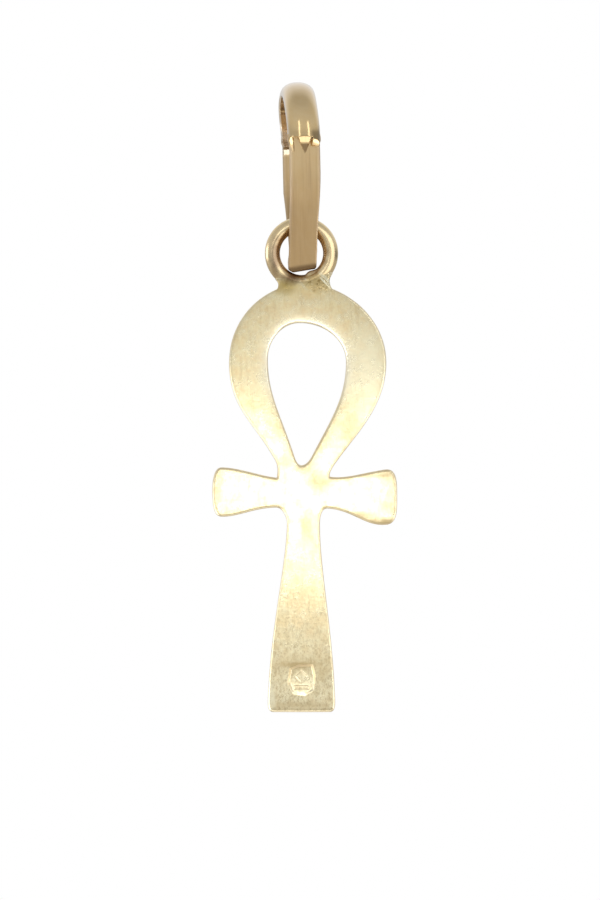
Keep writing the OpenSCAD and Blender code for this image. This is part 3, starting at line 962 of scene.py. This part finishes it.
class ANKH_OT_bail(bpy.types.Operator):
    """Make the bail: a polished domed arch that runs out into two flat legs and a soldered tip"""
    bl_idname = "ankh.bail"
    bl_label = "Bail"

    def execute(self, context):
        bail, ring = in_mm(context.scene.ankh_bail), in_mm(context.scene.ankh_ring)
        arch, closing, bend = bail.gap / 2, bail.closing, bail.bend
        bend_z = -bail.meet + arch / math.tan(closing) + bend * math.tan(closing / 2)
        ring_r = (ring.diameter - ring.wire) / 2
        clear = ring_r - ring.wire / 2 - bail.play
        spin = np.array(Matrix.Rotation(-bail.lean, 3, "Y") @ Matrix.Rotation(bail.turn, 3, "Z"))
        flat, wide, leg_half = bail.leg_thickness, bail.arch_width / 2, bail.leg_width / 2

        def facet(side, below, row):
            """One slanted facet, from the side's table row."""
            height, outwards, downwards, start, reach = row
            slant = melt(height - outwards * side - downwards * below,
                         flat + 4 * (side - start), CREASE)
            return melt(slant, flat + 3 * (reach - below), CREASE)

        def thickness(x, z):
            """How thick the strip is: domed above the ledge, flat below it. The dome ends in a
            rounded nose with a pointed tongue under it, and in a slanted facet on each side."""
            below, side = -bail.ledge - z, np.abs(x)
            dome = bail.rim + (bail.ridge - bail.rim) * (
                1 - np.minimum(side / wide, 0.999) ** DOME_POWER) ** (1 / DOME_POWER)
            nose = bail.ridge - NOSE_FALL * (below + NOSE_START)
            riser = flat - 8 * (below - 0.08 + 0.36 * eased(side, 0.2, 0.42))
            core = melt(melt(dome, nose, CREASE), riser, CREASE)
            facets = np.where(x < 0, *(facet(side, below, row) for row in FACETS))
            left = np.clip(1 - (below - TONGUE_TOP) / bail.point, -1, 1)
            tongue = flat + melt(0.1 * left, 1.5 * (TONGUE_HALF * left - side), CREASE)
            floor = flat - 1.2 * np.clip(-below - 0.3, 0, 1)
            ends = np.maximum(np.maximum(core, melt(dome, facets, 0.02)), tongue)
            return np.where(below < -0.7, dome, shared_part(ends, floor, 0.02))

        def leg_face(z):
            """How far back a leg's inner face lies where the legs close in."""
            return (z + bail.meet) * math.tan(closing)

        def straightened(x, y, z):
            """Takes the back leg's twist and the legs' slight sidewards shift out of a place."""
            twist = np.where(y > 0, eased(z, *TWIST_STARTS) * eased(z, *TWIST_ENDS),
                             0) * bail.back_twist
            seat = np.minimum(arch, leg_face(z)) + flat / 2
            back_shift = BACK_SHIFT * eased(z, 0.0, -2.8) * eased(z, -9.2, -8.4)
            front_shift = (FRONT_SHIFT * eased(z, -7.0, -4.2) - 0.02) * eased(z, -1.5, -3.2)
            x = x + ARCH_SHIFT * eased(z, -2.2, -0.2) - np.where(y > 0, back_shift, front_shift)
            return (x * np.cos(twist) + (y - seat) * np.sin(twist),
                    (y - seat) * np.cos(twist) - x * np.sin(twist) + seat)

        def strip(x, y, z):
            """The folded strip by itself, upright: its bend, its edges and its slanted tip."""
            x, y = straightened(x, y, z)
            side = np.abs(y)
            pivot = side + bend - arch
            bent = np.hypot(pivot, z - bend_z) - bend
            leg = (side - leg_face(z)) * math.cos(closing)
            leg = np.where(np.arctan2(bend_z - z, pivot) < closing, bent, leg)
            out = np.where(z > -arch, np.hypot(y, z + arch) - arch,
                           np.where(z > bend_z, side - arch, leg))
            slab = shared_part(-out, out - thickness(x, z), EDGE)
            tip = np.maximum(side - bail.tip / 2, z + bail.meet - 0.1)
            slab = np.where(z < 1.0 - bail.meet, melt(slab, tip, EDGE), slab)
            half = wide + (leg_half - wide) * eased(
                z, 0.1 - bail.ledge, -0.1 - bail.ledge) - LEG_TAPER * eased(z, -4.0, -8.4)
            end = (-bail.drop + x * math.tan(bail.tip_slant) - z) * math.cos(bail.tip_slant)
            return shared_part(shared_part(slab, np.abs(x) - half, SIDE_EDGE), end, END_EDGE)

        def metal(x, y, z):
            """The strip as it leans, its tip's corners filed back inside the ring."""
            room = np.hypot(x - HANG[0], z - HANG[2] + ring_r) - clear
            room = np.where(z < HANG[2] - ring_r, room, -1.0)
            local = np.stack([x, y, z], axis=1) @ spin
            return shared_part(strip(*local.T), room, FILED_EDGE)

        low, high = (np.array(c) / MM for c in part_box("bail"))
        low, high = low - BORDER, high + BORDER
        faces, points, _ = cast(metal, (
            np.arange(low[0], high[0], STEP_X), np.arange(low[1], high[1], STEP_Y),
            closer(low[2], high[2], STEP_Z, *LEDGE_GRID)))
        across, depth, level = (points @ spin).T
        across, depth = straightened(across, depth, level)
        below, side = -bail.ledge - level, np.abs(across)
        polish = np.clip(0.5 - (below - 0.12 * eased(side, 0.4, 0.8)) / 0.06, 0, 1)
        polish *= np.where(below > -0.45, eased(
            thickness(across, level), flat + 0.02, flat + 0.07), 1)
        reach = np.where(level > -arch, np.hypot(depth, level + arch), np.abs(depth))
        inner = eased(reach, arch + 0.12, arch + 0.04) * eased(below, 0.6, 0.52)
        polish = np.maximum(polish, (0.65 + 0.25 * eased(below, 0.1, 0.3)) * inner)
        inner *= 1 - 0.55 * eased(below, 0.2, 0.4)
        # Painted shade: the tip's end, the tongue below the nose, the hollow inside the arch and
        # the back leg.
        tip_end = eased(level - across * math.tan(bail.tip_slant),
                        0.42 - bail.drop, 0.17 - bail.drop)
        tongue = (depth < -arch - 0.1) * eased(below, 0.06, 0.1) \
            * (side < TONGUE_HALF * (1 - (below - TONGUE_TOP) / bail.point))
        hollow = inner * (depth > 0) * eased(level, -2.2, -2.5) * eased(level, -2.95, -2.8)
        back_leg = (depth > 0) * (depth < arch + 0.15) * eased(below, 0.55, 0.7)
        recess = np.maximum.reduce([tip_end, 0.8 * tongue, 0.62 * hollow, 0.3 * back_leg])
        # The legs' edges, painted paler as a highlight.
        rim = eased(side, leg_half - 0.2, leg_half - 0.05) * eased(below, 0.1, 0.3)
        made = metal_object("bail_strip", points, faces, bail_gold(bail), polish=polish,
                            recess=recess, inner=inner, rim=rim)
        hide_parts("bail")
        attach(made, "bail")
        return {"FINISHED"}


# ---------------------------------------------------------------- stage

# The soft white cards: name, the piece it lights, its place, where it points, its width and
# height, and its strength.
CARDS = (
    ("plate_strip", "ankh_plate", (52, -62, -9), (0, 0, -9), (3, 120), 6.0),
    ("plate_left", "ankh_plate", (-52, -18, -46), (0, 0, -24), (70, 56), 1.45),
    ("plate_right", "ankh_plate", (54, -14, -40), (0, 0, -24), (60, 50), 1.0),
    ("plate_low", "ankh_plate", (0, -6, -47), (0, 0, -34), (12, 10), 0.9),
    ("ring_right", "ankh_ring", (38, -47, -8.6), (1, 0, -8.6), (60, 70), 0.75),
    ("ring_front", "ankh_ring", (-12, -57, 4), (0, 0, -8.6), (14, 14), 1.3),
    ("ring_glint", "ankh_ring", (-60, 4, -7), (-2, 0, -8.6), (46, 24), 1.35),
    ("bail_left", "bail_strip", (-15.5, -78.5, -16), (0, 0, -16), (9, 106), 1.05),
    ("bail_right", "bail_strip", (36.8, -71, -16), (0, 0, -16), (9, 106), 1.05),
    ("facet_left", "bail_strip", (-51.6, -27, -22), (-0.5, -2.5, -2.4), (22, 22), 1.5),
    ("facet_right", "bail_strip", (41, -8, -47), (1.2, -2.4, -2.4), (22, 22), 1.6),
    ("nose_low", "bail_strip", (2.4, -12.1, -61.7), (0.4, -2.7, -2.5), (20, 20), 0.88),
)

# How bright the room is, from straight below (0) to straight above (1).
ROOM_LEVELS = ((0.35, 0.2), (0.48, 0.49), (0.56, 0.62), (0.66, 0.64), (0.75, 0.6), (0.83, 0.57),
               (0.91, 0.52), (0.965, 0.46))


def area_light(name, piece, place, aim, size, energy):
    """A light on one piece only, which the camera doesn't see."""
    data = bpy.data.lights.new(name, "AREA")
    data.shape = "RECTANGLE"
    data.size, data.size_y = size[0] * MM, size[1] * MM
    data.energy = energy
    made = bpy.data.objects.new(name, data)
    made.location = Vector(place) * MM
    made.rotation_euler = (Vector(aim) - Vector(place)).to_track_quat("-Z", "Y").to_euler()
    made.visible_camera = False
    bpy.context.scene.collection.objects.link(made)
    made.light_linking.receiver_collection = bpy.data.collections.new(name + "_lit")
    made.light_linking.receiver_collection.objects.link(bpy.data.objects[piece])


def studio_world():
    """A plain white room: white behind, a little greyer where the metal looks into it."""
    world = bpy.data.worlds.new("studio")
    bpy.context.scene.world = world
    world.use_nodes = True
    tree = world.node_tree
    background = tree.nodes["Background"]
    way = node(tree, "ShaderNodeTexCoord").outputs["Generated"]
    part = node(tree, "ShaderNodeSeparateXYZ", {0: way}).outputs
    ramp = node(tree, "ShaderNodeValToRGB", {
        "Fac": sums(tree, "MULTIPLY_ADD", part["Z"], 0.5, 0.5)})
    stops = ramp.color_ramp.elements
    stops[0].position, stops[0].color = 0.0, (0.1, 0.09, 0.075, 1)
    stops[1].position, stops[1].color = 1.0, (0.45, 0.45, 0.45, 1)
    for at, level in ROOM_LEVELS:
        stops.new(at).color = (level, level, level, 1)
    side = sums(tree, "MULTIPLY_ADD", sums(tree, "ABSOLUTE", part["X"]), -0.08, 1.0)
    room = vectors(tree, "SCALE", ramp.outputs["Color"], side)
    behind = sums(tree, "MULTIPLY", spread(tree, part["Y"], 0.0, 1.0, 0.0, 0.9),
                  spread(tree, part["Z"], -0.05, 0.4, 0.3, 1.0))
    room = blended(tree, behind, room, (0.95, 0.94, 0.92))
    doorway = sums(tree, "MULTIPLY", spread(tree, part["X"], 0.6, 0.8, 0.0, 0.85),
                   spread(tree, sums(tree, "ABSOLUTE", part["Z"]), 0.2, 0.06))
    room = blended(tree, doorway, room, (0.14, 0.14, 0.145))
    seen = node(tree, "ShaderNodeLightPath").outputs["Is Camera Ray"]
    tree.links.new(blended(tree, seen, room, (1.0, 1.0, 1.0)), background.inputs["Color"])
    background.inputs["Strength"].default_value = 1.0


def paper_floor(drop):
    """A pale round of paper, below the pendant."""
    mesh = bpy.data.meshes.new("floor")
    work = bmesh.new()
    bmesh.ops.create_circle(work, cap_ends=True, segments=96, radius=0.4)
    bmesh.ops.translate(work, verts=work.verts, vec=(0, 0, -drop))
    work.to_mesh(mesh)
    work.free()
    floor = bpy.data.objects.new("floor", mesh)
    bpy.context.scene.collection.objects.link(floor)
    paper = bpy.data.materials.new("pale_paper")
    paper.use_nodes = True
    shader = paper.node_tree.nodes["Principled BSDF"]
    shader.inputs["Base Color"].default_value = (0.82, 0.77, 0.7, 1)
    shader.inputs["Roughness"].default_value = 0.9
    mesh.materials.append(paper)


class ANKH_OT_stage(bpy.types.Operator):
    """Make the pale floor, the soft studio lights and the camera"""
    bl_idname = "ankh.stage"
    bl_label = "Stage"

    def execute(self, context):
        studio, scene = context.scene.ankh_studio, context.scene
        scene.view_settings.view_transform = "Standard"
        studio_world()
        paper_floor(studio.floor_drop)
        x = studio.aim_x / MM
        area_light("key", "ankh_plate", (x, -16, -22), (x, 0, -22), (16, 8.5), studio.key_power)
        area_light("fill", "ankh_plate", (x, -30, -23.5), (x, 0, -23.5), (22, 26),
                   studio.fill_power)
        for name, piece, place, aim, size, level in CARDS:
            area_light(name, piece, place, aim, size,
                       studio.card_power * size[0] * size[1] * level)
        data = bpy.data.cameras.new("camera")
        data.sensor_width = 36.0
        data.lens = data.sensor_width * studio.camera_distance / studio.frame_height
        camera = bpy.data.objects.new("camera", data)
        camera.location = (studio.aim_x, -studio.camera_distance, -studio.aim_drop)
        camera.rotation_euler = (math.pi / 2, 0, 0)
        scene.collection.objects.link(camera)
        scene.camera = camera
        return {"FINISHED"}


# ---------------------------------------------------------------- panel and start

class ANKH_PT_panel(bpy.types.Panel):
    """Lists the pendant's pieces with their sizes and colours"""
    bl_idname = "ANKH_PT_panel"
    bl_label = "Ankh Pendant"
    bl_space_type = "VIEW_3D"
    bl_region_type = "UI"
    bl_category = "Ankh"

    def draw(self, context):
        for settings, operator in PIECES:
            group = getattr(context.scene, settings)
            box = self.layout.box()
            for key in group.__annotations__:
                box.prop(group, key)
            box.operator(operator)


PIECES = (("ankh_plate", "ankh.plate"), ("ankh_ring", "ankh.ring"), ("ankh_bail", "ankh.bail"),
          ("ankh_studio", "ankh.stage"))
GROUPS = (PlateSettings, RingSettings, BailSettings, StudioSettings)
CLASSES = (*GROUPS, ANKH_OT_plate, ANKH_OT_ring, ANKH_OT_bail, ANKH_OT_stage, ANKH_PT_panel)


def register():
    for cls in CLASSES:
        bpy.utils.register_class(cls)
    for (settings, _), group in zip(PIECES, GROUPS):
        setattr(bpy.types.Scene, settings, bpy.props.PointerProperty(type=group))


def unregister():
    for settings, _ in PIECES:
        delattr(bpy.types.Scene, settings)
    for cls in reversed(CLASSES):
        bpy.utils.unregister_class(cls)


def main():
    register()
    bpy.ops.ankh.plate()
    bpy.ops.ankh.ring()
    bpy.ops.ankh.bail()
    bpy.ops.ankh.stage()


if __name__ == "__main__":
    main()
